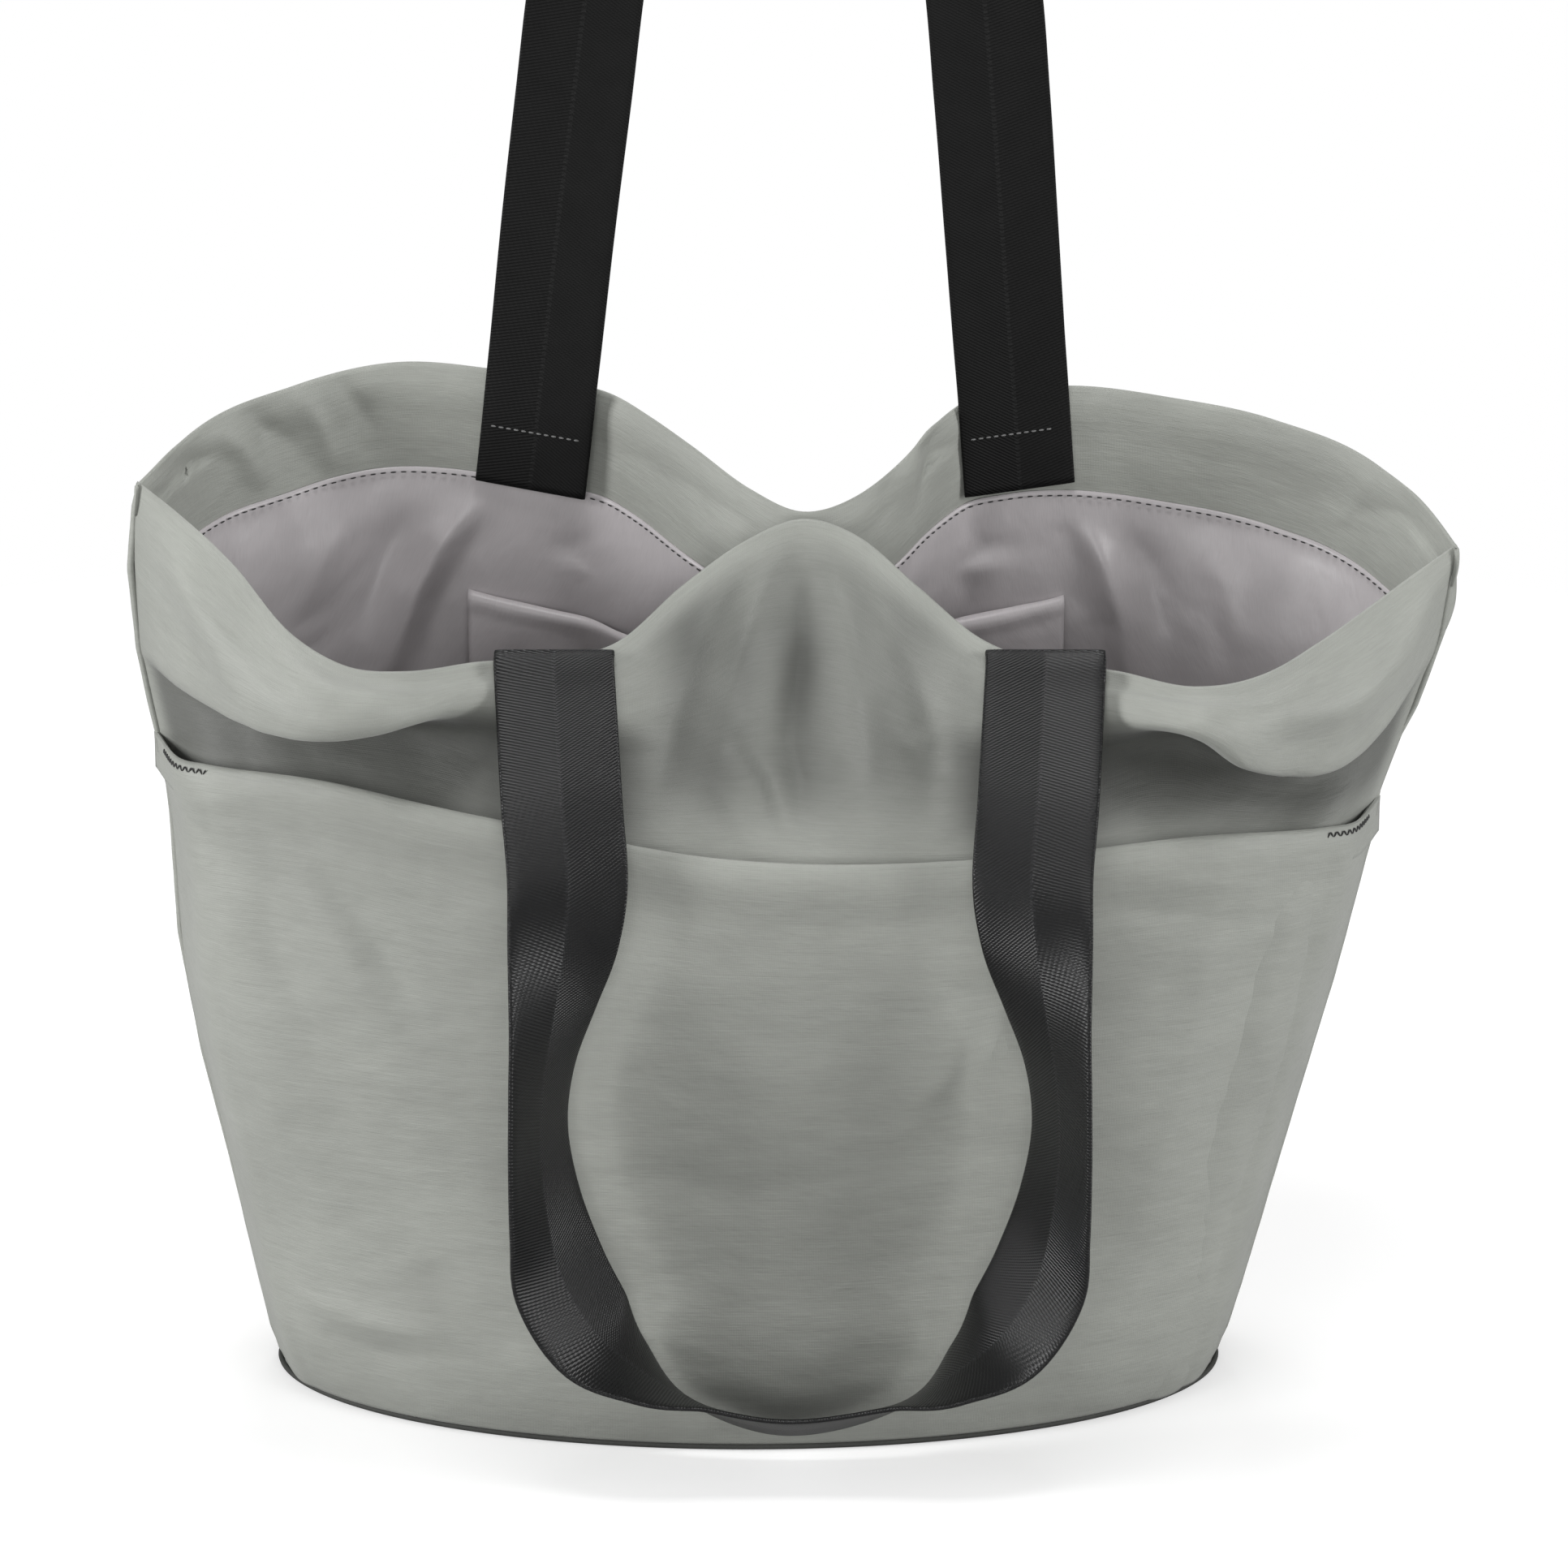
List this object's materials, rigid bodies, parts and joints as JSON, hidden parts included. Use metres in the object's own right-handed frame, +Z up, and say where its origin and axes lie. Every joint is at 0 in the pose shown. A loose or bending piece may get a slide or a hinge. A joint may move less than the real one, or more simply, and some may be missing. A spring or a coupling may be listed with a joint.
{
  "type": "foldable tote bag",
  "caption": "Soft open-top tote bag in thin cloth with an elliptical base, a full-width front slip pocket and two webbing handles.",
  "frame": {"origin": "centre of the base panel's underside, where the bag stands", "axes": "+Z up, +X to the right seen from the front, -Y out of the front pocket"},
  "size_m": [0.428, 0.2176, 0.5841],
  "materials": {
    "shell": "thin nylon, fine slub",
    "lining": "satin nylon",
    "front_webbing": "satin webbing",
    "back_webbing": "satin webbing",
    "thread": "matte",
    "dark_thread": "matte",
    "tape": "matte",
    "snap_metal": "satin",
    "magnet": "satin"
  },
  "bodies": {
    "bag": {"shell_front_panel": "shell", "shell_back_panel": "shell", "base_panel": "shell", "front_pocket_panel": "shell", "pocket_bartack_left": "dark_thread", "pocket_bartack_right": "dark_thread", "facing_front": "shell", "facing_back": "shell", "lining_front": "lining", "lining_back": "lining", "lining_base": "lining", "inner_pocket_panel": "lining", "side_seam_tape_left": "tape", "side_seam_tape_right": "tape", "base_seam_binding": "tape", "front_handle_end_left": "front_webbing", "front_handle_end_right": "front_webbing", "back_handle_end_left": "back_webbing", "back_handle_end_right": "back_webbing", "front_handle_stitch_left": "thread", "front_handle_stitch_right": "thread", "back_handle_stitch_left": "thread", "back_handle_stitch_right": "thread", "snap_magnet_cup": "snap_metal", "snap_magnet": "magnet", "snap_stud_plate": "snap_metal", "snap_washer_front": "snap_metal", "snap_washer_back": "snap_metal"},
    "front_handle": {"front_handle_loop": "front_webbing"},
    "back_handle": {"back_handle_loop": "back_webbing"}
  },
  "joints": [
    {"name": "front_handle_swing", "type": "hinge", "parent": "bag", "child": "front_handle", "pos_m": [0.017, -0.05074, 0.25819], "axis": [1, 0, 0], "range_deg": [-165, 0]},
    {"name": "back_handle_swing", "type": "hinge", "parent": "bag", "child": "back_handle", "pos_m": [0.01, 0.06891, 0.32046], "axis": [1, 0, 0], "range_deg": [-150, 15]}
  ]
}
